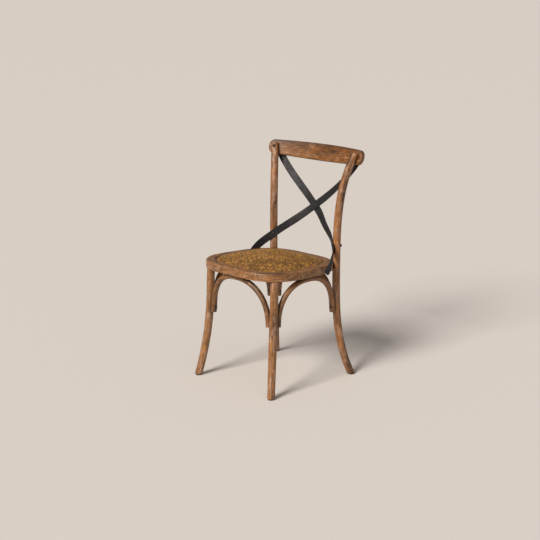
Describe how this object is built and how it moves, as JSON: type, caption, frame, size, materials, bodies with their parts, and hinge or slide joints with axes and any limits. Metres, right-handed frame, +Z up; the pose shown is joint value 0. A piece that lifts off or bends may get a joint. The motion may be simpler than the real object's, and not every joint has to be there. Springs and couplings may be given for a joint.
{
  "type": "cross back dining chair",
  "caption": "Bentwood dining chair with a domed woven seat in a rounded ring, arches between the legs, and two flat steel bars crossed behind the back.",
  "frame": {"origin": "the middle of the chair's box, on the floor", "axes": "+Z up, the sitter faces -Y, +X is the sitter's left, which is the right of the front view"},
  "size_m": [0.49, 0.5058, 0.8738],
  "materials": {
    "bentwood": "worn satin, dark at the edges",
    "plywood": "raw",
    "padding": "foam under cloth",
    "rattan": "fine weave, matte",
    "dark_steel": "blackened, slightly worn",
    "plain_steel": "plain",
    "glide": "matte"
  },
  "bodies": {
    "root": {"back_post_left": "bentwood", "back_post_right": "bentwood", "front_leg_left": "bentwood", "front_leg_right": "bentwood", "seat_ring": "bentwood", "crest_rail": "bentwood", "arch_front": "bentwood", "arch_back": "bentwood", "arch_left": "bentwood", "arch_right": "bentwood", "seat_board": "plywood", "seat_padding": "padding", "woven_seat": "rattan", "strap_left": "dark_steel", "strap_right": "dark_steel", "cross_rivet": "dark_steel", "crest_screws": "dark_steel", "strap_top_screws": "dark_steel", "strap_post_bolts": "dark_steel", "strap_post_nuts": "dark_steel", "strap_foot_screws": "dark_steel", "post_bolts": "plain_steel", "post_washers": "plain_steel", "post_nuts": "plain_steel", "arch_end_screws": "dark_steel", "arch_top_screws": "dark_steel", "seat_board_screws": "plain_steel", "foot_glides": "glide"}
  },
  "joints": []
}
